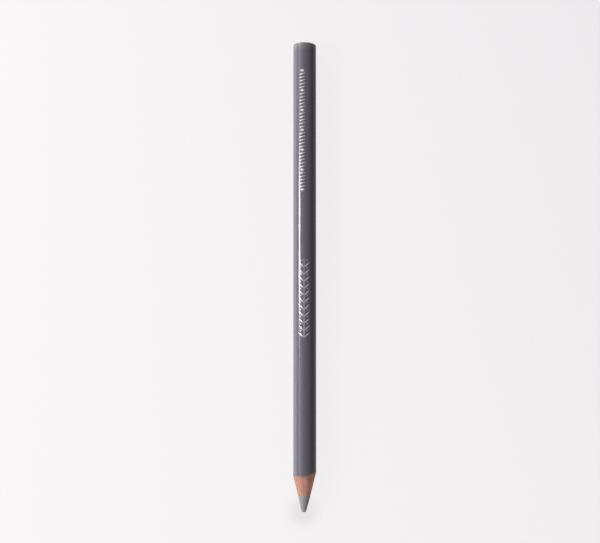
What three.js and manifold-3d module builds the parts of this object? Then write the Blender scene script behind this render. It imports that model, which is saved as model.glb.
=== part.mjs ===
// A round wood-cased pastel pencil, lying on its side: two grooved cedar slats glued round a
// thick pastel core, a sleeve of gloss lacquer, a dipped end coat with a rounded edge, and a
// short blunt taper cut through all of them.
//
// Units are millimetres, +Z is up. The pencil lies along Y with its tip towards -Y and its
// lacquered end towards +Y. The origin is on the resting surface, under the middle of the pencil.
import * as THREE from "three";
import { mergeVertices } from "three/addons/utils/BufferGeometryUtils.js";
import Module from "manifold-3d";

// The whole pencil
const OVERALL_LENGTH = 175;
const BARREL_DIAMETER = 8.6; // over the lacquer

// Coats
const LACQUER_THICKNESS = 0.15; // all the coats on the barrel together
const END_COAT_THICKNESS = 1; // the dipped coat over the end
const END_EDGE_DEPTH = 0.9; // how far down its side the end coat's edge is rounded
const END_EDGE_WIDTH = 1.8; // and how far in over the end
const END_SKEW_DEG = 1.2; // how far the end is cut off square

// Core and glue
const CORE_DIAMETER = 4.6;
const CORE_OFFSET = 0.22; // from the barrel's axis to the core's axis, towards -X
const GLUE_THICKNESS = 0.08; // of the film between the slats, and of the glue round the core

// Taper, turned about the core's axis
const TAPER_HALF_ANGLE_DEG = 13.9;
const TIP_DIAMETER = 1.6; // of the blunt tip, before its edge is rounded
const TIP_ROUNDING = 0.3;

// Clearance between neighbours, and how finely the round shapes are faceted
const FIT_CLEARANCE = 0.02;
const BARREL_SIDES = 24; // with one flat straight down, one up and one to each side
const TAPER_SIDES = 48;
const ARC_STEPS = 5;

// Radii, out from the barrel's axis
const barrelRadius = BARREL_DIAMETER / 2;
const lacquerBoreRadius = barrelRadius - LACQUER_THICKNESS;
const casingRadius = lacquerBoreRadius - FIT_CLEARANCE;

// Radii, out from the core's axis
const coreRadius = CORE_DIAMETER / 2;
const coreGlueInnerRadius = coreRadius + FIT_CLEARANCE;
const coreGlueOuterRadius = coreGlueInnerRadius + GLUE_THICKNESS;
const grooveRadius = coreGlueOuterRadius + FIT_CLEARANCE;

// Places along the pencil
const tipY = -OVERALL_LENGTH / 2;
const endY = OVERALL_LENGTH / 2;
const coatSeatY = endY - END_COAT_THICKNESS;
const casingEndY = coatSeatY - FIT_CLEARANCE;

// The end coat's edge is rounded no further down than its thickness
const endEdgeDepth = Math.min(END_EDGE_DEPTH, END_COAT_THICKNESS);
const endFlatRadius = barrelRadius - END_EDGE_WIDTH;

const axisX = { barrel: 0, core: -CORE_OFFSET };
const taperSlope = Math.tan(THREE.MathUtils.degToRad(TAPER_HALF_ANGLE_DEG));
const skewSlope = Math.tan(THREE.MathUtils.degToRad(END_SKEW_DEG));

const wasm = await Module();
wasm.setup();

// A closed geometry as a solid, with its shared vertices merged.
function solidOf(geometry) {
  geometry.deleteAttribute("normal");
  geometry.deleteAttribute("uv");
  const merged = mergeVertices(geometry);
  return new wasm.Manifold(
    new wasm.Mesh({
      numProp: 3,
      vertProperties: merged.attributes.position.array,
      triVerts: new Uint32Array(merged.index.array),
    }),
  );
}

// A solid as a geometry with flat faces.
function geometryOf(solid) {
  const { vertProperties, triVerts } = solid.getMesh();
  const geometry = new THREE.BufferGeometry();
  geometry.setAttribute("position", new THREE.BufferAttribute(vertProperties, 3));
  geometry.setIndex(new THREE.BufferAttribute(triVerts, 1));
  const flat = geometry.toNonIndexed();
  flat.computeVertexNormals();
  return flat;
}

// A profile of [radius, y] points turned about an axis along Y. A radius is measured to the
// middle of a flat, so that a bar of diameter d is d across its flats.
function turned(profile, sides, centreX) {
  const cornerScale = 1 / Math.cos(Math.PI / sides);
  const points = profile.map(([radius, y]) => new THREE.Vector2(radius * cornerScale, y));
  const geometry = new THREE.LatheGeometry(points, sides, Math.PI / sides);
  return geometry.translate(centreX, 0, barrelRadius);
}

// Slides the points of the lacquered end along Y by their X, which cuts that end off square.
// The far side of its flat stays at endY, and the tip's half is left alone.
function skewed(geometry) {
  const position = geometry.attributes.position;
  for (let i = 0; i < position.count; i += 1) {
    if (position.getY(i) > 0) {
      const slide = (position.getX(i) + endFlatRadius) * skewSlope;
      position.setY(i, position.getY(i) - slide);
    }
  }
  return geometry;
}

// A faceted round bar from the tip to the seat of the end coat, or past both by overrun.
function bar(radius, centreX, overrun = 0) {
  const lowY = tipY - overrun;
  const highY = casingEndY + overrun;
  const profile = [
    [0, lowY],
    [radius, lowY],
    [radius, highY],
    [0, highY],
  ];
  return solidOf(skewed(turned(profile, BARREL_SIDES, centreX)));
}

// The same bar, long enough to cut a bore right through.
function boreCutter(radius, centreX) {
  return bar(radius, centreX, BARREL_DIAMETER);
}

// A block across the whole barrel, from one X to another and from one Z to another.
function block(lowX, highX, lowZ, highZ) {
  const length = 2 * OVERALL_LENGTH;
  const geometry = new THREE.BoxGeometry(highX - lowX, length, highZ - lowZ);
  return solidOf(geometry.translate((lowX + highX) / 2, 0, (lowZ + highZ) / 2));
}

// Points on an arc in the plane of a profile, this wide across the pencil and this deep along
// it from its centre. The angles are in radians.
function arc(centreRadius, centreY, width, depth, from, to) {
  return Array.from({ length: ARC_STEPS + 1 }, (_, step) => {
    const angle = from + ((to - from) * step) / ARC_STEPS;
    return [centreRadius + width * Math.cos(angle), centreY + depth * Math.sin(angle)];
  });
}

// Everything that the sharpener leaves: a flat tip with a rounded edge, the taper, and the
// whole barrel behind it.
function sharpenedSpace() {
  const halfAngle = THREE.MathUtils.degToRad(TAPER_HALF_ANGLE_DEG);
  const tipRadius = TIP_DIAMETER / 2;
  const rounding = Math.min(TIP_ROUNDING, tipRadius);
  const flatRadius = tipRadius - rounding / Math.tan(Math.PI / 4 + halfAngle / 2);
  const clearRadius = BARREL_DIAMETER;
  const profile = [
    [0, tipY],
    ...arc(flatRadius, tipY + rounding, rounding, rounding, -Math.PI / 2, -halfAngle),
    [clearRadius, tipY + (clearRadius - tipRadius) / taperSlope],
    [clearRadius, OVERALL_LENGTH],
    [0, OVERALL_LENGTH],
  ];
  return solidOf(turned(profile, TAPER_SIDES, axisX.core));
}

const sharpened = sharpenedSpace();
const casingBar = bar(casingRadius, axisX.barrel);
const groove = boreCutter(grooveRadius, axisX.core);
const cutCasing = casingBar.subtract(groove).intersect(sharpened);

// One cedar slat, on the side of the joint that side names: -1 for -X, 1 for +X.
function casingSlat(side) {
  const jointX = axisX.core + side * (GLUE_THICKNESS / 2 + FIT_CLEARANCE);
  const outerX = side * BARREL_DIAMETER;
  const half = block(Math.min(jointX, outerX), Math.max(jointX, outerX), 0, BARREL_DIAMETER);
  return cutCasing.intersect(half);
}

// The glue between the slats, above the core for side 1 and below it for side -1.
function slatGlue(side) {
  const lowX = axisX.core - GLUE_THICKNESS / 2;
  const outerZ = barrelRadius + side * BARREL_DIAMETER;
  const lowZ = Math.min(barrelRadius, outerZ);
  const highZ = Math.max(barrelRadius, outerZ);
  return cutCasing.intersect(block(lowX, lowX + GLUE_THICKNESS, lowZ, highZ));
}

function coreGlue() {
  const outside = bar(coreGlueOuterRadius, axisX.core);
  return outside.subtract(boreCutter(coreGlueInnerRadius, axisX.core)).intersect(sharpened);
}

function pastelCore() {
  return bar(coreRadius, axisX.core).intersect(sharpened);
}

function barrelLacquer() {
  const outside = bar(barrelRadius, axisX.barrel);
  return outside.subtract(boreCutter(lacquerBoreRadius, axisX.barrel)).intersect(sharpened);
}

function endCoat() {
  const profile = [
    [0, coatSeatY],
    [barrelRadius, coatSeatY],
    ...arc(endFlatRadius, endY - endEdgeDepth, END_EDGE_WIDTH, endEdgeDepth, 0, Math.PI / 2),
    [0, endY],
  ];
  return solidOf(skewed(turned(profile, BARREL_SIDES, axisX.barrel)));
}

function material(color, roughness) {
  return new THREE.MeshStandardMaterial({ color, roughness, metalness: 0 });
}

const cedar = material("#ab7766", 0.7);
const pastel = material("#838184", 0.95);
const glue = material("#8e7054", 0.5);
const lacquer = material("#5f5c66", 0.2);

const pencil = new THREE.Group();

function addPiece(name, solid, pieceMaterial) {
  const mesh = new THREE.Mesh(geometryOf(solid), pieceMaterial);
  mesh.name = name;
  pencil.add(mesh);
}

addPiece("casing_slat_left", casingSlat(-1), cedar);
addPiece("casing_slat_right", casingSlat(1), cedar);
addPiece("pastel_core", pastelCore(), pastel);
addPiece("slat_glue_upper", slatGlue(1), glue);
addPiece("slat_glue_lower", slatGlue(-1), glue);
addPiece("core_glue", coreGlue(), glue);
addPiece("barrel_lacquer", barrelLacquer(), lacquer);
addPiece("end_coat", endCoat(), lacquer);

export default pencil;
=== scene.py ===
"""The looks of a round wood-cased pastel pencil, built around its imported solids.

The pencil lies along Y with its tip towards -Y. Lengths are in metres, and inside the materials
in millimetres.
"""

import math

import bmesh
import bpy
import numpy as np
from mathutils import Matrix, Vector


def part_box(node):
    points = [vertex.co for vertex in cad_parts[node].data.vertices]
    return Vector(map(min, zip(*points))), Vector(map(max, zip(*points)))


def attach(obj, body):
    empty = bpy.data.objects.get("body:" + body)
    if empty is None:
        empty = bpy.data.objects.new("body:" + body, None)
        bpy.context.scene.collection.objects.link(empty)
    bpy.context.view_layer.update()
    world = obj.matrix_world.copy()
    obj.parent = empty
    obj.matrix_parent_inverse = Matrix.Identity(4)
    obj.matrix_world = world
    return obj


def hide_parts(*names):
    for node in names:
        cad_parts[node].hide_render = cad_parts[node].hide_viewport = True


bl_info = {
    "name": "Pastel Pencil",
    "version": (1, 0, 0),
    "blender": (4, 5, 0),
    "location": "View3D > Sidebar > Pencil",
    "description": "Builds the surfaces, finishes and studio of a wood-cased pastel pencil",
    "category": "Add Mesh",
}

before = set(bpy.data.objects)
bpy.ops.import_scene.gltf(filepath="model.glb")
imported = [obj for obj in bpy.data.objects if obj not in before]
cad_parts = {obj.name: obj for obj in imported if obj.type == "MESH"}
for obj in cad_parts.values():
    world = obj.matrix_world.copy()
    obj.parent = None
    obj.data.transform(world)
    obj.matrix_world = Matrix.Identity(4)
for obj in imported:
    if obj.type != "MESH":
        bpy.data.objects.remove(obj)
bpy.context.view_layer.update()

MM = 0.001

# Places and radii, read from the solids
core_low, core_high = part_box("pastel_core")
barrel_low, barrel_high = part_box("barrel_lacquer")
casing_low, casing_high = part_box("casing_slat_right")
groove_low, groove_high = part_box("core_glue")
seam_low, seam_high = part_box("slat_glue_upper")
AXIS_Z = (barrel_low.z + barrel_high.z) / 2
BARREL_RADIUS = (barrel_high.z - barrel_low.z) / 2
CASING_RADIUS = (casing_high.z - casing_low.z) / 2
CORE_X = (core_low.x + core_high.x) / 2
CORE_RADIUS = (core_high.z - core_low.z) / 2
GROOVE_RADIUS = (groove_high.z - groove_low.z) / 2
SEAM_HALF = (seam_high.x - seam_low.x) / 2
TIP_Y = core_low.y
END_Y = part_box("end_coat")[1].y

# How finely the surfaces are drawn
AROUND = 240  # points round a turned surface
SLAT_COLUMNS = 121  # points round the outside of one slat
TAPER_ROWS = 90  # rows up the taper, on the wood and on the core
WAVES = 28  # sine waves in a field of ripples
SHARP_ANGLE = math.radians(32)

# The lacquer's cut edge
LIP_LENGTH = 0.02 * MM  # its rounding along the pencil
LIP_DROP = 0.3 * LIP_LENGTH  # and in towards the axis
EDGE_WAVE = 0.012 * MM
CHIP_DEPTH = 0.05 * MM

# The end coat sinks over the core, to its full depth from this far inside the core's edge
SINK_DEPTH = 0.025 * MM
SINK_INSET = 0.35 * MM

# The blade's marks on the wood, and its soft hollows by the lacquer's edge: how far round the core
# from straight up towards +X and how wide, in degrees, and how deep
WOOD_RELIEF = 0.006 * MM
BLADE_HOLLOWS = ((-50, 26, 0.175 * MM), (43, 17, 0.12 * MM))

# Wear on the core
CORE_PROUD = 0.05 * MM  # how far it stands out from the wood
CORE_SHIFT = 0.06 * MM  # how far it lies towards -X there
TIP_LEAN = 0.13 * MM  # how much further its tip lies
SCORE_DEPTH = 0.006 * MM  # marks of the blade
CRUMB_DEPTH = 0.006 * MM
TIP_CRUMB_DEPTH = 0.008 * MM  # how much deeper the crumbs are at the tip
DENT_DEPTH = 0.02 * MM
WORN_LENGTH = 1.2 * MM  # how far up from the tip the wear reaches
CALM_RADIUS = 0.4 * MM  # inside this the marks fade towards the middle of the tip

# The foil
FOIL_ROOT = 0.01 * MM  # how far its underside lies inside the lacquer
LOZENGE = (0.55 * MM, 0.85 * MM)  # half its length along the pencil, and half its width round it
BERRY = (0.2 * MM, 0.2 * MM)
BERRY_AROUND = 1.2 * MM  # from the stem
BAR_SLANT, BAR_RISE = 0.5 * MM, 2.15 * MM  # a bar's reach along the pencil and round it
LEAF_REACH, LEAF_RISE = 1.9 * MM, 1.95 * MM
LEAF_AROUND = 0.16 * MM  # where a leaf starts, from the middle of the stem
STEM_HALF_WIDTH = 0.12 * MM
STEM_SHORT = 0.9 * MM  # how far below the branch's top the stem ends

# The lamps
KEY_REACH = 0.6  # of the key and the strip, from the pencil's line
KEY_LOW, KEY_HIGH = -0.047, 0.161  # where the key starts and ends along the pencil
KEY_FADE = 0.078
KEY_PANELS = 11
KEY_WIDTH = 0.14
STRIP_SIZE = (1.6, 0.06)
SIDE_Y, SIDE_REACH = 1.2, 1.0  # the side lamps, before the tip and beyond the end
HIGH_LEAN, HIGH_SIZE = math.radians(45), (0.6, 0.6)
LOW_LEAN, LOW_SIZE = math.radians(75), (0.6, 0.5)
FRONT_Y, FRONT_REACH, FRONT_SIZE = -1.2, 0.1, (0.5, 0.15)

# The camera and the floor
SENSOR_WIDTH = 36  # in millimetres
NEAR_CLIP, FAR_CLIP = 0.01, 20
FLOOR_REACH = 1.6
FLOOR_DROP = 0.02 * MM  # keeps the floor just clear of the barrel


def plain(red, green, blue):
    """A colour given in 0 to 255 as a screen shows it, as linear light: a straight line near
    black and a power above it."""
    shares = np.array((red, green, blue)) / 255
    return tuple(np.where(shares < 0.04045, shares / 12.92, ((shares + 0.055) / 1.055) ** 2.4))


BACKDROP = plain(243, 242, 243)
WHITE = (1, 1, 1)
WARM_WHITE = (1.026, 1.0, 0.974)  # what the room and the floor send to a gloss


def length_property(name, description, default):
    return bpy.props.FloatProperty(
        name=name, description=description, default=default, subtype="DISTANCE", unit="LENGTH",
        precision=5,
    )


def angle_property(name, description, degrees):
    return bpy.props.FloatProperty(
        name=name, description=description, default=math.radians(degrees), subtype="ANGLE",
    )


def number_property(name, description, default):
    return bpy.props.FloatProperty(name=name, description=description, default=default, min=0)


def count_property(name, description, default):
    return bpy.props.IntProperty(name=name, description=description, default=default, min=1)


def colour_property(name, description, default):
    return bpy.props.FloatVectorProperty(
        name=name, description=description, default=default, subtype="COLOR", size=3,
        min=0, max=1,
    )


class PencilSizes(bpy.types.PropertyGroup):
    """Sizes that the solids' boxes don't give."""

    taper_half_angle: angle_property("Taper", "Angle of each side of the taper", 13.9)
    tip_diameter: length_property("Tip", "Width of the blunt tip", 1.6 * MM)
    tip_rounding: length_property("Tip rounding", "Radius of the tip's edge", 0.3 * MM)
    end_skew: angle_property("End skew", "How far the end is cut off square", 1.2)
    end_edge_depth: length_property("End edge depth", "Rounding down the side", 0.9 * MM)
    end_edge_width: length_property("End edge width", "Rounding in over the end", 1.8 * MM)
    end_thickness: length_property("End coat", "Thickness of the dipped end coat", 1 * MM)
    colour_coat: length_property("Colour coat", "Colour over the undercoat", 0.07 * MM)
    foil_lift: length_property("Foil lift", "Height of the foil over the lacquer", 0.012 * MM)


class FoilLayout(bpy.types.PropertyGroup):
    """Where the foil lies along the pencil, and round the barrel from its top line."""

    row_start: length_property("Row start", "Start of the hatched row", 32 * MM)
    row_end: length_property("Row end", "End of the hatched row", 76.5 * MM)
    row_around: length_property("Row round", "Middle of the row, round the barrel", -0.96 * MM)
    row_groups: count_property("Row groups", "Groups of bars in the row", 6)
    row_bars: count_property("Row bars", "Bars in each group", 5)
    branch_start: length_property("Branch start", "Foot of the branch", -23 * MM)
    branch_end: length_property("Branch end", "Top of the branch", 7.5 * MM)
    branch_around: length_property("Branch round", "The stem, round the barrel", -0.3 * MM)
    branch_pairs: count_property("Branch pairs", "Pairs of leaves", 11)


class PencilColours(bpy.types.PropertyGroup):
    """Colours of the finishes."""

    lacquer: colour_property("Lacquer", "Bluish grey", plain(93, 90, 101))
    # This paler grey is painted light: it stands for the light the end's rounded rim catches from
    # beyond the end.
    end: colour_property("Lacquer, end", "Paler grey of the dipped end", plain(109, 106, 109))
    undercoat: colour_property("Undercoat", "Brown under the lacquer", plain(120, 93, 85))
    cedar_light: colour_property("Cedar, light", "Early wood", plain(171, 119, 102))
    cedar_dark: colour_property("Cedar, dark", "Late wood", plain(134, 88, 72))
    pastel: colour_property("Pastel", "Neutral grey core", plain(149, 147, 150))
    glue: colour_property("Glue", "Dried glue", plain(142, 112, 84))
    foil: colour_property("Foil", "Silver foil", plain(198, 198, 203))


class StudioSettings(bpy.types.PropertyGroup):
    """The floor, the camera and the lamps."""

    # The floor's own colours hold painted shade: darker towards +X, away from the lamps, and
    # darkest there towards the end.
    floor_left: colour_property("Floor, left", "Floor towards -X", plain(248, 246, 247))
    floor_near: colour_property("Floor, near", "Right, by the tip", plain(242, 238, 239))
    floor_far: colour_property("Floor, far", "Right, by the end", plain(236, 234, 236))
    lens: number_property("Lens", "Focal length in millimetres on a 36 mm sensor", 59.42)
    camera_height: length_property("Camera height", "Height over the barrel's axis", 0.370)
    camera_x: length_property("Camera X", "Place of the camera across the pencil", -1.78 * MM)
    camera_y: length_property("Camera Y", "Place of the camera along the pencil", -10.54 * MM)
    camera_pitch: angle_property("Camera pitch", "Lean of the view towards the end", 1.9)
    key_lean: angle_property("Key lean", "Angle of the key from straight up, towards -X", 54.3)
    key_power: number_property("Key", "Power of the key if it were even, in watts", 2.6)
    strip_power: number_property("Strip", "Power of the long strip lamp, in watts", 0.97)
    high_power: number_property("High lamps", "Power of both high side lamps, in watts", 15.6)
    low_power: number_property("Low lamps", "Power of both low side lamps, in watts", 20)
    back_share: number_property("Back share", "Share of the side lamps beyond the end", 0.7)
    front_power: number_property("Front lamp", "Power of the lamp off the tip, in watts", 8.8)


def sizes():
    return bpy.context.scene.pencil_sizes


def layout():
    return bpy.context.scene.pencil_foil


def colours():
    return bpy.context.scene.pencil_colours


def studio():
    return bpy.context.scene.pencil_studio


# Surfaces


def on_ring(radius, y, angle, centre_x=0.0):
    """Points at a radius about an axis along Y, at an angle from straight up towards +X."""
    radius, y, angle = np.broadcast_arrays(radius, y, angle)
    x = centre_x + radius * np.sin(angle)
    z = AXIS_Z + radius * np.cos(angle)
    return np.stack([x, y, z], axis=-1)


def ring_angles():
    return np.linspace(0, 2 * np.pi, AROUND, endpoint=False)


def taper_y(radius):
    """Where along the pencil the taper has this radius about the core's axis. It widens in a
    straight line from the tip."""
    slope = math.tan(sizes().taper_half_angle)
    return TIP_Y + (radius - sizes().tip_diameter / 2) / slope


def taper_radius(y):
    """The taper's radius about the core's axis at a place along the pencil."""
    slope = math.tan(sizes().taper_half_angle)
    return sizes().tip_diameter / 2 + (y - TIP_Y) * slope


def end_seat():
    """Where along the pencil the end coat starts, at the far side of its flat."""
    return END_Y - sizes().end_thickness


def skew_slide(x):
    """How far the skewed end lies from the far side of its flat, by the distance across."""
    flat_radius = BARREL_RADIUS - sizes().end_edge_width
    return -(x + flat_radius) * math.tan(sizes().end_skew)


def casing_reach(angle):
    """The distance from the core's axis to the casing's round face, which is turned about the
    barrel's axis: the far root of the circle's equation along that ray."""
    across = CORE_X * np.cos(angle)
    return -CORE_X * np.sin(angle) + np.sqrt(CASING_RADIUS**2 - across**2)


def blade_depth(angle):
    """How much deeper than the plain taper the blade has cut by the lacquer's edge, at an angle
    round the core's axis of -pi to pi: a bell curve for each hollow."""
    degrees = np.degrees(angle)
    return sum(
        deep * np.exp(-((degrees - middle) / wide) ** 2) for middle, wide, deep in BLADE_HOLLOWS
    )


def ripples(angle, y, seed, turns, rises=0.0):
    """A smooth uneven field of about -1 to 1 on a turned surface: a sum of sine waves. Each has a
    whole number of turns round the axis, so that the field meets itself, and up to rises radians
    a metre along it."""
    draw = np.random.default_rng(seed)
    turn = draw.integers(-turns, turns + 1, WAVES)
    rise = draw.uniform(-rises, rises, WAVES)
    phase = draw.uniform(0, 2 * np.pi, WAVES)
    angle, y = np.broadcast_arrays(angle, y)
    total = np.sin(angle[..., None] * turn + y[..., None] * rise + phase).sum(axis=-1)
    return total / math.sqrt(WAVES)


def eased(low, high, value):
    """0 on low's side, 1 on high's side, and a smooth step between them."""
    share = np.clip((value - low) / (high - low), 0, 1)
    return share * share * (3 - 2 * share)


def grid_faces(rows, columns, wrap_rows=False):
    """The quads of a grid of points whose columns close on themselves. They face outwards where
    rows run along +Y on the outside and columns run from straight up towards +X."""
    index = np.arange(rows * columns).reshape(rows, columns)
    if wrap_rows:
        index = np.vstack([index, index[:1]])
    index = np.hstack([index, index[:, :1]])
    corners = (index[:-1, :-1], index[:-1, 1:], index[1:, 1:], index[1:, :-1])
    return np.stack(corners, axis=-1).reshape(-1, 4)


def turned_solid(rings):
    """A grid of rings closed at both ends by a fan round the ring's middle point."""
    rows, columns = rings.shape[:2]
    points = np.vstack([rings.reshape(-1, 3), rings[0].mean(axis=0), rings[-1].mean(axis=0)])
    front, back = rows * columns, rows * columns + 1
    here = np.arange(columns)
    following = (here + 1) % columns
    last = (rows - 1) * columns
    front_fan = np.stack([np.full(columns, front), following, here], axis=-1)
    back_fan = np.stack([last + here, last + following, np.full(columns, back)], axis=-1)
    quads = grid_faces(rows, columns)
    return points, quads.tolist() + front_fan.tolist() + back_fan.tolist()


def sleeve(rings):
    """A grid of rings that also closes from its last ring to its first."""
    rows, columns = rings.shape[:2]
    return rings.reshape(-1, 3), grid_faces(rows, columns, wrap_rows=True).tolist()


def joined(parts):
    """Several lists of points and faces as one."""
    points, faces, start = [], [], 0
    for part_points, part_faces in parts:
        points.append(part_points)
        faces.extend([[corner + start for corner in face] for face in part_faces])
        start += len(part_points)
    return np.vstack(points), faces


def add_piece(name, shape, material, node):
    """Makes a piece of points and faces that rides on the pencil, in place of a solid or, where
    node is None, beside them all."""
    points, faces = shape
    mesh = bpy.data.meshes.new(name)
    mesh.from_pydata(points.tolist(), [], faces)
    mesh.shade_smooth()
    mesh.set_sharp_from_angle(angle=SHARP_ANGLE)
    mesh.materials.append(material)
    piece = bpy.data.objects.new(name, mesh)
    bpy.context.collection.objects.link(piece)
    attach(piece, "root")
    if node:
        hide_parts(node)
    return piece


def weld(piece):
    """Merges the points that lie on each other, where a wedge runs out to nothing."""
    mesh = bmesh.new()
    mesh.from_mesh(piece.data)
    bmesh.ops.remove_doubles(mesh, verts=mesh.verts, dist=1e-7)
    mesh.to_mesh(piece.data)
    mesh.free()


# Shader maths


class Field:
    """What a socket gives over a surface. Arithmetic on it adds Math nodes, or Vector Math
    nodes where it is a colour or a vector."""

    def __init__(self, tree, socket):
        self.tree = tree
        self.socket = socket

    def join(self, operation, first, second):
        pair = [first, second]
        if any(is_triple(value) for value in pair):
            pair = [value if isinstance(value, Field) else as_triple(value) for value in pair]
            return self.tree.node("ShaderNodeVectorMath", {"operation": operation}, pair)
        return self.tree.node("ShaderNodeMath", {"operation": operation}, pair)

    def __add__(self, other):
        return self.join("ADD", self, other)

    def __radd__(self, other):
        return self.join("ADD", other, self)

    def __sub__(self, other):
        return self.join("SUBTRACT", self, other)

    def __rsub__(self, other):
        return self.join("SUBTRACT", other, self)

    def __mul__(self, other):
        return self.join("MULTIPLY", self, other)

    def __rmul__(self, other):
        return self.join("MULTIPLY", other, self)

    def step(self, low, high):
        """A smooth step from 0 at low to 1 at high, which may be the lower number."""
        settings = {"interpolation_type": "SMOOTHSTEP"}
        values = {"Value": self, "From Min": low, "From Max": high}
        return self.tree.node("ShaderNodeMapRange", settings, values)

    def fraction(self):
        return self.join("FRACT", self, 0.0)

    def clamped(self):
        return self.tree.node("ShaderNodeClamp", values=[self])

    def blend(self, first, second):
        """The first colour where this is 0 and the second where it is 1."""
        settings = {"data_type": "RGBA"}
        values = {"Factor": self, "A": first, "B": second}
        return self.tree.node("ShaderNodeMix", settings, values, "Result")


def is_triple(value):
    """Whether a value is a colour or a vector, as a field or as plain numbers."""
    if isinstance(value, Field):
        return value.socket.type in {"VECTOR", "RGBA"}
    return hasattr(value, "__len__")


def as_triple(value):
    return tuple(value) if is_triple(value) else (value, value, value)


class Finish:
    """The node tree of a material or a world, with a node method that makes any node."""

    def __init__(self, owner):
        owner.use_nodes = True
        self.owner = owner
        self.nodes = owner.node_tree.nodes
        self.links = owner.node_tree.links
        self.nodes.clear()

    def node(self, kind, settings=None, values=(), output=0):
        """Makes a node, sets its settings, then fills its sockets with values or links."""
        made = self.nodes.new(kind)
        for setting, value in (settings or {}).items():
            setattr(made, setting, value)
        pairs = values.items() if isinstance(values, dict) else enumerate(values)
        for key, value in pairs:
            socket = self.socket(made.inputs, key)
            if isinstance(value, Field):
                self.links.new(value.socket, socket)
            elif socket.type == "RGBA":
                socket.default_value = (*value, 1)
            else:
                socket.default_value = value
        return Field(self, self.socket(made.outputs, output)) if made.outputs else None

    @staticmethod
    def socket(sockets, key):
        """A socket by number, or the enabled one of that name."""
        if isinstance(key, int):
            return sockets[key]
        return next(socket for socket in sockets if socket.name == key and socket.enabled)

    def place(self):
        """The place on the piece in millimetres, from the barrel's axis."""
        found = self.node("ShaderNodeTexCoord", output="Object")
        return (found - (0, 0, AXIS_Z)) * (1 / MM)

    def parts(self, vector):
        """A vector's X, Y and Z."""
        split = self.node("ShaderNodeSeparateXYZ", values=[vector])
        return [Field(self, socket) for socket in split.socket.node.outputs]

    def noise(self, vector, per_mm, detail, roughness=0.5):
        """Noise of 0 to 1 with this many lumps a millimetre along each axis."""
        stretched = vector * as_triple(per_mm)
        values = {"Vector": stretched, "Scale": 1.0, "Detail": detail, "Roughness": roughness}
        return self.node("ShaderNodeTexNoise", {}, values, "Fac")

    def distance(self, vector, centre):
        """The distance from a point."""
        offset = vector - centre
        return self.node("ShaderNodeVectorMath", {"operation": "LENGTH"}, [offset], "Value")

    def distance_from(self, vector, centre_x):
        """The distance in millimetres from an axis along Y, this many metres across."""
        return self.distance(vector * (1, 0, 1), (centre_x / MM, 0, 0))

    def ray(self, kind):
        """1 on a ray of this kind and 0 on any other."""
        return self.node("ShaderNodeLightPath", output=f"Is {kind} Ray")

    def bump(self, height, depth):
        """A normal from a height of 0 to 1 that stands for this depth in metres."""
        values = {"Strength": 1.0, "Distance": depth, "Height": height}
        return self.node("ShaderNodeBump", {}, values)

    def surface(self, **values):
        """Sends a Principled shader with these values to the output, and gives the material."""
        named = {name.replace("_", " "): value for name, value in values.items()}
        shader = self.node("ShaderNodeBsdfPrincipled", {}, named)
        self.node("ShaderNodeOutputMaterial", {}, [shader])
        return self.owner


def new_finish(name):
    return Finish(bpy.data.materials.new(name))


def lacquer_finish():
    """Gloss lacquer, drawn on along the barrel: faint lines along Y, a little orange peel,
    rubbed spots, and a dull cut edge with the brown undercoat under the colour. It grows a
    little paler towards the dipped end, which has no cut edge: painted light, standing for the
    light that the end's rounded rim catches from beyond the end."""
    finish = new_finish("gloss lacquer")
    place = finish.place()
    y = finish.parts(place)[1]
    radius = finish.distance_from(place, 0.0)
    outside, end = BARREL_RADIUS / MM, END_Y / MM
    undercoat_top = outside - sizes().colour_coat / MM
    blur = 0.008
    before_end = 1 - y.step(end - 2.6, end - 2.1)
    cut = radius.step(outside - 0.012, outside - 0.02) * before_end
    undercoat = radius.step(undercoat_top + blur, undercoat_top - blur) * before_end

    draw_lines = finish.noise(place, (2.4, 0.02, 2.4), detail=3.0)
    peel = finish.noise(place, (0.8, 0.5, 0.8), detail=1.0)
    rubbed = finish.noise(place, (1.1, 0.25, 1.1), detail=5.0, roughness=0.65).step(0.6, 0.72)
    specks = finish.noise(place, 9.0, detail=2.0).step(0.68, 0.74)
    clouds = finish.noise(place, (0.5, 0.06, 0.5), detail=2.0)
    tone = 0.95 + clouds * 0.1 + specks * 0.05
    # Painted light: the lacquer grows paler towards the end, standing for the light its rounded
    # rim catches from beyond the end.
    dipped = y.step(end - 3.6, end - 1.3)
    lacquer = dipped.blend(tuple(colours().lacquer), tuple(colours().end))
    return finish.surface(
        Base_Color=undercoat.blend(lacquer, tuple(colours().undercoat)) * tone,
        Roughness=0.13 + rubbed * 0.07 + cut * 0.45,
        IOR=1.5,
        Normal=finish.bump(draw_lines * 0.5 + peel * 0.5, 0.004 * MM),
    )


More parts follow.
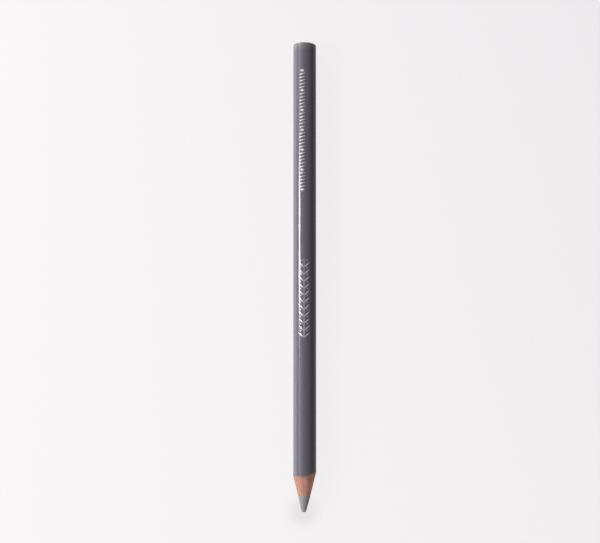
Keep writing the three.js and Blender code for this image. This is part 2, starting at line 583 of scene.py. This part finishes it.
def cedar_finish(name, ring_angle, offset, tone):
    """Cedar: early and late wood in rings about a far axis, so that the taper cuts them in long
    arches, fine fibres along Y, marks of the blade round the taper, and grey dust by the core."""
    finish = new_finish(name)
    place = finish.place()
    turn = {"Vector": place, "Location": offset, "Rotation": (0, ring_angle, 0)}
    grain_place = finish.node("ShaderNodeMapping", {}, turn)
    across = finish.parts(grain_place)[0]
    wander = finish.noise(grain_place, (0.5, 0.035, 0.5), detail=2.0)
    rings_per_mm, wander_rings = 1.15, 1.9
    ring = (across * rings_per_mm + wander * wander_rings).fraction()
    late = ring.step(0.35, 0.86) * ring.step(1.0, 0.93)
    fibres = finish.noise(grain_place, (15, 0.5, 15), detail=3.0, roughness=0.6)
    streaks = finish.noise(grain_place, (4.5, 0.14, 4.5), detail=3.0, roughness=0.6)
    flecks = finish.noise(grain_place, (11, 0.9, 11), detail=1.0).step(0.67, 0.76)
    darkness = late * 0.42 + streaks * 0.55 + fibres * 0.3 - 0.28 + flecks * 0.35
    grain = darkness.clamped().blend(tuple(colours().cedar_light), tuple(colours().cedar_dark))

    radius = finish.distance_from(place, CORE_X)
    groove, casing = GROOVE_RADIUS / MM, CASING_RADIUS / MM
    smears = finish.noise(place, (2.5, 1.2, 2.5), detail=4.0, roughness=0.7).step(0.35, 0.75)
    dust_and_painted_shadow = radius.step(groove + 0.55, groove) * smears
    stain = radius.step(casing - 0.45, casing - 0.05)
    wood = (dust_and_painted_shadow * 0.55).blend(grain * tone, tuple(colours().pastel))
    wood = (stain * 0.2).blend(wood, tuple(colours().undercoat))

    blade = finish.noise(place, (0.6, 7.0, 0.6), detail=2.0, roughness=0.6)
    height = fibres * 0.35 + late * 0.25 + blade * 0.4
    return finish.surface(
        Base_Color=wood,
        Roughness=0.62 + fibres * 0.2,
        IOR=1.45,
        Normal=finish.bump(height, 0.03 * MM),
    )


def pastel_finish():
    """Dry pressed pastel: mottled and grainy, scored round the taper, with darker pits."""
    finish = new_finish("pressed pastel")
    place = finish.place()
    mottle = finish.noise(place, 1.3, detail=3.0, roughness=0.6)
    grain = finish.noise(place, 16.0, detail=3.0, roughness=0.7)
    scores = finish.noise(place, (0.9, 8.0, 0.9), detail=3.0, roughness=0.6)
    drags = finish.noise(place, (5.0, 0.5, 5.0), detail=2.0)
    pits = finish.noise(place, 6.0, detail=2.0).step(0.3, 0.22)
    tone = 0.8 + mottle * 0.14 + grain * 0.12 + scores * 0.1 + drags * 0.08 - pits * 0.12
    height = grain * 0.4 + scores * 0.45 - pits * 0.5
    return finish.surface(
        Base_Color=tone * tuple(colours().pastel),
        Diffuse_Roughness=1.0,
        Roughness=0.93,
        IOR=1.4,
        Normal=finish.bump(height, 0.04 * MM),
    )


def glue_finish():
    """Dried glue, cut with the wood: dull, with grey dust rubbed into it."""
    finish = new_finish("dried glue")
    dust_and_painted_shadow = finish.noise(finish.place(), (4.0, 1.0, 4.0), detail=3.0).step(0.35, 0.7)
    colour = (dust_and_painted_shadow * 0.5).blend(tuple(colours().glue), tuple(colours().pastel))
    return finish.surface(Base_Color=colour, Roughness=0.5 + dust_and_painted_shadow * 0.3, IOR=1.47)


def foil_finish():
    """Hot-stamped silver foil: bright metal with pinholes and faint creases."""
    finish = new_finish("silver foil")
    place = finish.place()
    creases = finish.noise(place, (3.0, 1.2, 3.0), detail=3.0)
    pinholes = finish.noise(place, 7.0, detail=2.0).step(0.7, 0.75)
    return finish.surface(
        Base_Color=pinholes.blend(tuple(colours().foil), tuple(colours().lacquer)),
        Metallic=(1 - pinholes) * 0.4,
        Roughness=0.33 + creases * 0.08,
        Normal=finish.bump(creases, 0.004 * MM),
    )


# The pieces


def chipped_edge(angle):
    """How far the lacquer's front edge lies behind the taper: a slight wave with a few chips,
    where the wave's highest crests pass a threshold."""
    wave = ripples(angle, 0.0, seed=11, turns=9)
    small = ripples(angle, 0.0, seed=12, turns=34)
    threshold = 1.0
    chips = np.clip(wave + small * 0.4 - threshold, 0, None)
    return EDGE_WAVE * (1 + small * 0.5) + CHIP_DEPTH * chips


class PENCIL_OT_barrel(bpy.types.Operator):
    """Make the sleeve of gloss lacquer, cut by the taper. Its rings stand closer together by the
    cut edge."""

    bl_idname = "pencil.barrel"
    bl_label = "Lacquered barrel"

    def execute(self, context):
        angle = ring_angles()
        back = end_seat() + skew_slide(BARREL_RADIUS * np.sin(angle))
        chips = chipped_edge(angle)

        def front(radius):
            from_core = on_ring(radius, 0.0, angle) - (CORE_X, 0, AXIS_Z)
            across, up = from_core[..., 0], from_core[..., 2]
            return taper_y(np.hypot(across, up) + blade_depth(np.arctan2(across, up))) + chips

        along = np.concatenate([[0, 0.0005, 0.002, 0.005, 0.01], np.linspace(0.02, 1, 60)])
        outer_front, inner_front = front(BARREL_RADIUS) + LIP_LENGTH, front(CASING_RADIUS)
        lip_radius = BARREL_RADIUS - LIP_DROP
        outer_y = outer_front + along[:, None] * (back - outer_front)
        inner_y = inner_front + along[::-1, None] * (back - inner_front)
        rings = np.concatenate([
            on_ring(lip_radius, front(lip_radius), angle)[None],
            on_ring(BARREL_RADIUS, outer_y, angle),
            on_ring(CASING_RADIUS, inner_y, angle),
        ])
        add_piece("lacquered_barrel", sleeve(rings), lacquer_finish(), "barrel_lacquer")
        return {"FINISHED"}


def end_profile():
    """The end coat's outline, as radius and place along the pencil: the face on its seat, the
    side, a quarter of an ellipse round the edge, and the flat, which sinks over the core."""
    depth, width = sizes().end_edge_depth, sizes().end_edge_width
    flat_radius = BARREL_RADIUS - width
    hub = 0.02 * MM
    seat = np.linspace(hub, BARREL_RADIUS, 12)
    turn = np.linspace(0, np.pi / 2, 25)
    flat = np.linspace(flat_radius, hub, 40)[1:]
    sink = SINK_DEPTH * eased(flat_radius, CORE_RADIUS - SINK_INSET, flat)
    radius = [seat, [BARREL_RADIUS], flat_radius + width * np.cos(turn), flat]
    y = [
        np.full(len(seat), end_seat()), [end_seat() + hub],
        END_Y - depth + depth * np.sin(turn), END_Y - sink,
    ]
    return np.concatenate(radius), np.concatenate(y)


class PENCIL_OT_end(bpy.types.Operator):
    """Make the dipped coat over the end, with its rounded edge."""

    bl_idname = "pencil.end"
    bl_label = "Dipped end coat"

    def execute(self, context):
        radius, y = end_profile()
        rings = on_ring(radius[:, None], y[:, None], ring_angles())
        rings[..., 1] += skew_slide(rings[..., 0])
        shape = turned_solid(rings)
        add_piece("dipped_end", shape, lacquer_finish(), "end_coat")
        return {"FINISHED"}


def clear_of_seam(side, radius, angle):
    """How far across and up from the core's axis the points at this radius lie, held off the
    middle by half the seam's width."""
    across = side * np.maximum(radius * np.abs(np.sin(angle)), SEAM_HALF)
    return across, np.sign(np.cos(angle)) * np.sqrt(radius**2 - across**2)


def slat(side):
    """One half of the casing as a grid. A column is a ray from the core's axis, from the upper
    joint round to the lower one and back along the groove. A row runs first up the taper to its
    edge under the lacquer, which lies further back on the side away from the core and in the
    blade's hollows, and then along the barrel. side is -1 for -X and 1 for +X."""
    angle = np.linspace(0, np.pi, SLAT_COLUMNS) * side
    reach = casing_reach(angle)
    hollow = blade_depth(angle)
    crease = taper_y(reach + hollow)
    front = taper_y(GROOVE_RADIUS)
    up_taper = np.linspace(0, 1, TAPER_ROWS)[:, None]
    taper_rows = front + up_taper * (crease - front)
    blade = ripples(angle, taper_rows, seed=21 + side, turns=5, rises=14 / MM)
    relief = WOOD_RELIEF * blade * np.sin(np.pi * up_taper) ** 0.5
    back = end_seat() + skew_slide(CORE_X + reach * np.sin(angle))
    barrel_rows = crease + np.linspace(0, 1, 30)[1:, None] * (back - crease)
    cut = taper_radius(taper_rows) - hollow * up_taper**2
    y = np.concatenate([taper_rows, barrel_rows])
    outer = np.concatenate([cut + relief, barrel_rows * 0 + reach])
    across, up = clear_of_seam(side, outer, angle)
    groove_across, groove_up = clear_of_seam(side, GROOVE_RADIUS, angle)
    outer_points = np.stack([CORE_X + across, y, AXIS_Z + up], axis=-1)
    groove_points = np.stack(
        np.broadcast_arrays(CORE_X + groove_across, y, AXIS_Z + groove_up), axis=-1,
    )
    grid = np.concatenate([outer_points, groove_points[:, ::-1]], axis=1)
    rows, columns = grid.shape[:2]
    last = (rows - 1) * columns
    step = np.arange(SLAT_COLUMNS - 1)
    inner = columns - 1 - step
    cap = np.stack([last + step, last + step + 1, last + inner - 1, last + inner], axis=-1)
    faces = np.concatenate([grid_faces(rows, columns), cap])
    if side < 0:
        faces = faces[:, ::-1]
    return grid.reshape(-1, 3), faces.tolist()


class PENCIL_OT_casing(bpy.types.Operator):
    """Make the two cedar slats, each with its groove and its half of the taper."""

    bl_idname = "pencil.casing"
    bl_label = "Cedar slats"

    def execute(self, context):
        left_turn, left_offset, left_tone = math.radians(29), (0.6, 8.3, -4.5), 0.96
        right_turn, right_offset, right_tone = math.radians(55), (6.8, 42.2, 1.5), 1.15
        left = cedar_finish("left cedar slat", left_turn, left_offset, left_tone)
        right = cedar_finish("right cedar slat", right_turn, right_offset, right_tone)
        weld(add_piece("cedar_slat_left", slat(-1), left, "casing_slat_left"))
        weld(add_piece("cedar_slat_right", slat(1), right, "casing_slat_right"))
        return {"FINISHED"}


def core_profile():
    """The core's outline, as radius and place along the pencil: the flat of the tip, a round
    edge that runs on into the taper, the taper, and the straight stick behind it."""
    half_angle, rounding = sizes().taper_half_angle, sizes().tip_rounding
    setback = rounding / math.tan(math.pi / 4 + half_angle / 2)
    flat_radius = sizes().tip_diameter / 2 - setback
    flat = np.linspace(0.01 * MM, flat_radius, 11)[:-1]
    turn = np.linspace(-np.pi / 2, -half_angle, 12)
    start_y = TIP_Y + rounding * (1 - math.sin(half_angle))
    up_taper = np.linspace(0, 1, TAPER_ROWS)[1:]
    taper_rows = start_y + up_taper * (taper_y(CORE_RADIUS) - start_y)
    stick = np.linspace(taper_rows[-1], end_seat(), 20)[1:]
    radius = [
        flat, flat_radius + rounding * np.cos(turn), taper_radius(taper_rows),
        np.full(len(stick), CORE_RADIUS),
    ]
    y = [np.full(len(flat), TIP_Y), TIP_Y + rounding * (1 + np.sin(turn)), taper_rows, stick]
    return np.concatenate(radius), np.concatenate(y)


def worn_rings(radius, y):
    """The rings of the core's outline with its wear. Out of the wood it stands proud and leans
    towards -X, with the blade's scores and crumbs on it, and its tip is worn back unevenly."""
    angle = ring_angles()
    radius, y = radius[:, None], y[:, None]
    wood_y = taper_y(CORE_RADIUS)
    bare = eased(wood_y, wood_y - 0.4 * MM, y)
    proud = eased(wood_y, wood_y - 0.9 * MM, y)
    worn = eased(TIP_Y + WORN_LENGTH, TIP_Y, y)
    scores = SCORE_DEPTH * ripples(angle, y, seed=31, turns=4, rises=16 / MM)
    crumbs = ripples(angle, y, seed=32, turns=16, rises=9 / MM)
    rough = scores + (CRUMB_DEPTH + TIP_CRUMB_DEPTH * worn) * crumbs
    inward = np.minimum(radius / CALM_RADIUS, 1)
    radius = radius + inward * (bare * rough + proud * CORE_PROUD)
    rings = on_ring(radius, y, angle, CORE_X)
    slant = 0.05 * (rings[..., 0] - CORE_X) + 0.03 * (rings[..., 2] - AXIS_Z)
    dents = DENT_DEPTH * np.abs(ripples(angle, radius, seed=33, turns=6, rises=5 / MM))
    rings[..., 1] += worn * (np.abs(slant) + dents)
    rings[..., 0] -= CORE_SHIFT * proud + TIP_LEAN * eased(wood_y, TIP_Y, y)
    return rings


class PENCIL_OT_core(bpy.types.Operator):
    """Make the pastel core: a blunt worn tip, the taper with the marks of the blade, and the
    round stick behind it, whose back face follows the skewed end."""

    bl_idname = "pencil.core"
    bl_label = "Pastel core"

    def execute(self, context):
        rings = worn_rings(*core_profile())
        middle = rings[-1].mean(axis=0)
        inwards = np.linspace(0.8, 0.05, 4)[:, None, None]
        rings = np.concatenate([rings, middle + (rings[-1] - middle) * inwards])
        rings[..., 1] += np.where(rings[..., 1] > 0, skew_slide(rings[..., 0]), 0)
        add_piece("pastel_stick", turned_solid(rings), pastel_finish(), "pastel_core")
        return {"FINISHED"}


def seam(side):
    """The glue between the slats, above the core for side 1 and below it for side -1: a strip
    of four edges that starts at nothing on the taper and follows it up to the casing's face."""
    reach = casing_reach(0.0 if side > 0 else np.pi)
    front, crease = taper_y(GROOVE_RADIUS), taper_y(reach)
    back = end_seat() + skew_slide(CORE_X)
    y = np.concatenate([np.linspace(front, crease, 60), np.linspace(crease, back, 12)[1:]])
    outer = np.minimum(taper_radius(y), reach)
    groove = np.full(len(y), GROOVE_RADIUS)
    across = np.array([-SEAM_HALF, SEAM_HALF, SEAM_HALF, -SEAM_HALF]) * side
    up = side * np.stack([outer, outer, groove, groove], axis=-1)
    columns = np.broadcast_arrays(CORE_X + across, y[:, None], AXIS_Z + up)
    faces = grid_faces(len(y), 4).tolist()
    last = (len(y) - 1) * 4
    faces.append([last, last + 1, last + 2, last + 3])
    return np.stack(columns, axis=-1).reshape(-1, 3), faces


class PENCIL_OT_glue(bpy.types.Operator):
    """Make the glue: two seams between the slats and a sleeve round the core."""

    bl_idname = "pencil.glue"
    bl_label = "Glue"

    def execute(self, context):
        glue = glue_finish()
        weld(add_piece("glue_seam_upper", seam(1), glue, "slat_glue_upper"))
        weld(add_piece("glue_seam_lower", seam(-1), glue, "slat_glue_lower"))
        angle = ring_angles()
        back = end_seat() + skew_slide(CORE_X + CORE_RADIUS * np.sin(angle))
        along = np.linspace(0, 1, 12)[:, None]
        outer_front, inner_front = taper_y(GROOVE_RADIUS), taper_y(CORE_RADIUS)
        rings = np.concatenate([
            on_ring(GROOVE_RADIUS, outer_front + along * (back - outer_front), angle, CORE_X),
            on_ring(CORE_RADIUS, inner_front + along[::-1] * (back - inner_front), angle, CORE_X),
        ])
        add_piece("core_glue_sleeve", sleeve(rings), glue, "core_glue")
        return {"FINISHED"}


# The foil ornament. Places on it are along the pencil, and round the barrel from its top line.


def on_barrel(along, around, lift):
    return on_ring(BARREL_RADIUS + lift, along, around / BARREL_RADIUS)


def foil_lifts():
    """The heights over the lacquer of the six points or rings of a shape: three on top of the
    foil, and three underneath."""
    return np.repeat([sizes().foil_lift, -FOIL_ROOT], 3)


def stroke(along, around, half_width):
    """A flat ribbon of foil carried along a path on the barrel: three points across its top and
    three across its underside at each step, set out square to the path."""
    path = np.stack([along, around], axis=-1)
    step = np.gradient(path, axis=0)
    step /= np.linalg.norm(step, axis=1, keepdims=True)
    square = np.stack([-step[:, 1], step[:, 0]], axis=-1)
    places = np.array([-1, 0, 1, 1, 0, -1])
    spread = path[:, None] + square[:, None] * (places[:, None] * half_width[:, None, None])
    points = on_barrel(spread[..., 0], spread[..., 1], foil_lifts())
    first = [[5, 4, 1, 0], [4, 3, 2, 1]]
    start = (len(along) - 1) * len(places)
    last = [[start + corner for corner in face[::-1]] for face in first]
    faces = grid_faces(len(along), len(places)).tolist()
    return points.reshape(-1, 3), faces + first + last


def foil_outline(reach, rise, corner):
    """A closed curve round which the shares of its reach and its rise, each to the power of
    corner, always add up to one."""
    turn = np.linspace(0, 2 * np.pi, 32, endpoint=False)
    wide, high = np.cos(turn), np.sin(turn)
    power = 2 / corner
    along = reach * np.sign(wide) * np.abs(wide) ** power
    around = rise * np.sign(high) * np.abs(high) ** power
    return along, around


def plate(along, around, reach, rise, corner=2.0):
    """A small flat shape of foil, with a thin edge: an oval where corner is 2, and a lozenge with
    straight sides where it is 1."""
    outline_along, outline_around = foil_outline(reach, rise, corner)
    shares = np.array([0.05, 0.6, 1, 1, 0.6, 0.05])[:, None]
    rings = on_barrel(
        along + shares * outline_along, around + shares * outline_around, foil_lifts()[:, None],
    )
    return turned_solid(rings)


def lozenge(along, around):
    return plate(along, around, *LOZENGE, corner=1.0)


def wedge(along, around):
    """A slanted bar with rounded ends, thicker towards -X."""
    share = np.linspace(-1, 1, 24)
    half_width = 0.03 * MM + (0.125 - 0.08 * share) * MM * (1 - share**4)
    return stroke(along + BAR_SLANT / 2 * share, around + BAR_RISE / 2 * share, half_width)


def hatched_row(low, high, centre, groups, bars):
    """Groups of slanted wedges between solid lozenges, with a lozenge at each end."""
    unit = (high - low) / groups
    pitch = unit / (bars + 1)
    parts = [lozenge(low, centre)]
    for start in low + unit * np.arange(groups):
        parts.extend(wedge(start + place * pitch, centre) for place in range(1, bars + 1))
        parts.append(lozenge(start + unit, centre))
    return joined(parts)


def leaf(along, around, reach, rise):
    """A leaf: a bent stroke that swells from nothing and runs out to a point."""
    share = np.linspace(0, 1, 30)
    half_width = 0.02 * MM + 0.22 * MM * np.sin(np.pi * share**0.85) ** 1.2
    return stroke(along + reach * share, around + rise * share**0.95, half_width)


def branch(low, high, centre, pairs):
    """A straight branch with a pair of leaves at each joint, and a berry between the leaves on
    each side."""
    pitch = (high - low) / (pairs + 0.75)
    along = np.linspace(low, high - STEM_SHORT, 160)
    narrowing = np.linspace(1, 0.55, len(along))
    parts = [stroke(along, np.full(len(along), centre), STEM_HALF_WIDTH * narrowing)]
    for joint in low + pitch * (np.arange(pairs) + 0.12):
        berry_along = joint + 0.95 * pitch
        for side in (-1, 1):
            parts.append(leaf(joint, centre + side * LEAF_AROUND, LEAF_REACH, side * LEAF_RISE))
            parts.append(plate(berry_along, centre + side * BERRY_AROUND, *BERRY))
    return joined(parts)


class PENCIL_OT_foil(bpy.types.Operator):
    """Stamp the foil: a fine hatched row towards the end and a branch at mid length."""

    bl_idname = "pencil.foil"
    bl_label = "Foil ornament"

    def execute(self, context):
        foil, spots = foil_finish(), layout()
        fine = hatched_row(
            spots.row_start, spots.row_end, spots.row_around, spots.row_groups, spots.row_bars,
        )
        large = branch(
            spots.branch_start, spots.branch_end, spots.branch_around, spots.branch_pairs,
        )
        add_piece("foil_hatching", fine, foil, None)
        add_piece("foil_branch", large, foil, None)
        return {"FINISHED"}


# The studio


def softbox(name, lean, reach, along, size, power):
    """A flat lamp aimed at the pencil's middle. lean is its angle from straight up, towards -X,
    reach its distance from the pencil's line, and size its width along the pencil and across."""
    data = bpy.data.lights.new(name, "AREA")
    data.shape = "RECTANGLE"
    data.size, data.size_y = size
    data.energy = power
    lamp = bpy.data.objects.new(name, data)
    aim = Vector((-reach * math.sin(lean), along, reach * math.cos(lean)))
    lamp.location = aim + Vector((0, 0, AXIS_Z))
    lamp.rotation_euler = aim.to_track_quat("Z", "Y").to_euler()
    bpy.context.collection.objects.link(lamp)


def key_light(lean, power):
    """A softbox that fades out towards both ends: a row of panels, each a little brighter than
    the one outside it, up to an even middle."""
    edges = np.linspace(KEY_LOW, KEY_HIGH, KEY_PANELS + 1)
    middles = (edges[:-1] + edges[1:]) / 2
    rising = eased(KEY_LOW, KEY_LOW + KEY_FADE, middles)
    falling = eased(KEY_HIGH, KEY_HIGH - KEY_FADE, middles)
    size = (edges[1] - edges[0], KEY_WIDTH)
    for along, level in zip(middles.tolist(), (rising * falling).tolist()):
        softbox("key", lean, KEY_REACH, along, size, power * level / KEY_PANELS)


def side_lights(settings):
    """A high and a low lamp before the tip, and two brighter ones beyond the end."""
    for along, share in ((-SIDE_Y, 1 - settings.back_share), (SIDE_Y, settings.back_share)):
        high, low = settings.high_power * share, settings.low_power * share
        softbox("high", HIGH_LEAN, SIDE_REACH, along, HIGH_SIZE, high)
        softbox("low", LOW_LEAN, SIDE_REACH, along, LOW_SIZE, low)


def floor_finish():
    """A pale floor. The camera sees it mostly in its own colour, with a light trace of its
    shadows. Its own colour holds painted shade: a little darker towards +X, away from the lamps,
    less so towards the tip, and darker still in a painted shadow round the tip. A gloss sees
    painted light and shade on it: brighter towards -X and darker towards +X. Far off it takes on
    the colour of the backdrop, so that no edge shows."""
    finish = new_finish("pale floor")
    place = finish.place()
    x, y, _ = finish.parts(place)
    camera, glossy, through = (finish.ray(kind) for kind in ("Camera", "Glossy", "Transmission"))
    # Painted shade in the floor's own colour: lighter towards -X, where the lamps stand, and
    # darker towards +X, most of all by the end.
    half_width, half_length = 115, 100
    right = (x + half_width) * (1 / (2 * half_width))
    far = (y + half_length) * (1 / (2 * half_length))
    right_side = far.blend(tuple(studio().floor_near), tuple(studio().floor_far))
    painted_shade_gradient = right.blend(tuple(studio().floor_left), right_side)
    # Painted shadow round the tip: the floor's own colour is up to 13 percent darker there.
    under_tip = (CORE_X / MM - 0.6, TIP_Y / MM - 0.8, -AXIS_Z / MM)
    dust_and_painted_shadow = finish.distance(place, under_tip).step(8.5, 1.5) * 0.13
    far_off = finish.distance(place, (0, 0, 0)).step(250, 950)
    shown = far_off.blend(painted_shade_gradient * (1 - dust_and_painted_shadow), BACKDROP)

    # Painted reflection: a gloss sees the floor brighter towards -X, as if lit, darker towards +X,
    # as if in the pencil's shadow, and a little warmer.
    painted_reflected_light = 0.8 - x.step(-14, -10) * 0.9 - x.step(4, 14) * 0.5
    seen = shown * glossy.blend(WHITE, WARM_WHITE) * (1 + glossy * painted_reflected_light)
    own = finish.node("ShaderNodeEmission", {}, {"Color": seen})
    lit = finish.node("ShaderNodeBsdfDiffuse", {}, {"Color": BACKDROP})
    shadow_share = 0.06
    share = (camera + through) * (1 - shadow_share + far_off * shadow_share) + glossy
    mixed = finish.node("ShaderNodeMixShader", {}, [share, lit, own])
    finish.node("ShaderNodeOutputMaterial", {}, [mixed])
    return finish.owner


def light_room():
    """A room that is dark overhead, with a band of soft light low on each side. The level is
    read from how far a direction points towards +X. The camera sees a pale backdrop."""
    world = bpy.data.worlds.new("room")
    bpy.context.scene.world = world
    finish = Finish(world)
    x, _, z = finish.parts(finish.node("ShaderNodeTexCoord", output="Generated"))
    left_level, right_level, glow_level = 0.74, 0.22, 0.06
    left_band = x.step(-1.08, -0.85) * x.step(-0.2, -0.75) * left_level
    right_band = x.step(0.1, 0.75) * x.step(1.08, 0.78) * right_level
    glow = x.step(-0.75, -0.3) * x.step(0.9, 0.5) * z.step(0.0, 0.3) * glow_level
    camera = finish.ray("Camera")
    colour = camera.blend(WARM_WHITE, BACKDROP)
    strength = camera + (1 - camera) * (left_band + right_band + glow)
    shader = finish.node("ShaderNodeBackground", {}, {"Color": colour, "Strength": strength})
    finish.node("ShaderNodeOutputWorld", {}, [shader])


def add_floor():
    reach, z = FLOOR_REACH, -FLOOR_DROP
    corners = [(-reach, -reach, z), (reach, -reach, z), (reach, reach, z), (-reach, reach, z)]
    mesh = bpy.data.meshes.new("floor")
    mesh.from_pydata(corners, [], [(0, 1, 2, 3)])
    mesh.materials.append(floor_finish())
    floor = bpy.data.objects.new("floor", mesh)
    bpy.context.collection.objects.link(floor)


def add_camera(settings):
    camera = bpy.data.cameras.new("camera")
    camera.lens = settings.lens
    camera.sensor_width = SENSOR_WIDTH
    camera.clip_start, camera.clip_end = NEAR_CLIP, FAR_CLIP
    holder = bpy.data.objects.new("camera", camera)
    height = AXIS_Z + settings.camera_height
    holder.location = (settings.camera_x, settings.camera_y, height)
    holder.rotation_euler = (settings.camera_pitch, 0, 0)
    bpy.context.collection.objects.link(holder)
    bpy.context.scene.camera = holder


class PENCIL_OT_stage(bpy.types.Operator):
    """Set up the floor, the lamps, the room and the camera."""

    bl_idname = "pencil.stage"
    bl_label = "Studio"

    def execute(self, context):
        settings = studio()
        add_floor()
        key_light(settings.key_lean, settings.key_power)
        softbox("strip", settings.key_lean, KEY_REACH, 0, STRIP_SIZE, settings.strip_power)
        side_lights(settings)
        softbox("front", 0, FRONT_REACH, FRONT_Y, FRONT_SIZE, settings.front_power)
        light_room()
        add_camera(settings)
        context.scene.view_settings.view_transform = "Standard"
        return {"FINISHED"}


class PENCIL_PT_panel(bpy.types.Panel):
    """The steps of the pencil, in the 3D view's sidebar."""

    bl_label = "Pastel Pencil"
    bl_space_type = "VIEW_3D"
    bl_region_type = "UI"
    bl_category = "Pencil"

    def draw(self, context):
        for operator in OPERATORS:
            self.layout.operator(operator.bl_idname)


OPERATORS = (
    PENCIL_OT_barrel,
    PENCIL_OT_end,
    PENCIL_OT_casing,
    PENCIL_OT_core,
    PENCIL_OT_glue,
    PENCIL_OT_foil,
    PENCIL_OT_stage,
)
GROUPS = {
    "pencil_sizes": PencilSizes,
    "pencil_foil": FoilLayout,
    "pencil_colours": PencilColours,
    "pencil_studio": StudioSettings,
}
CLASSES = (*GROUPS.values(), *OPERATORS, PENCIL_PT_panel)


def register():
    for each in CLASSES:
        bpy.utils.register_class(each)
    for name, group in GROUPS.items():
        setattr(bpy.types.Scene, name, bpy.props.PointerProperty(type=group))


def unregister():
    for name in GROUPS:
        delattr(bpy.types.Scene, name)
    for each in reversed(CLASSES):
        bpy.utils.unregister_class(each)


def main():
    register()
    bpy.ops.pencil.barrel()
    bpy.ops.pencil.end()
    bpy.ops.pencil.casing()
    bpy.ops.pencil.core()
    bpy.ops.pencil.glue()
    bpy.ops.pencil.foil()
    bpy.ops.pencil.stage()


if __name__ == "__main__":
    main()
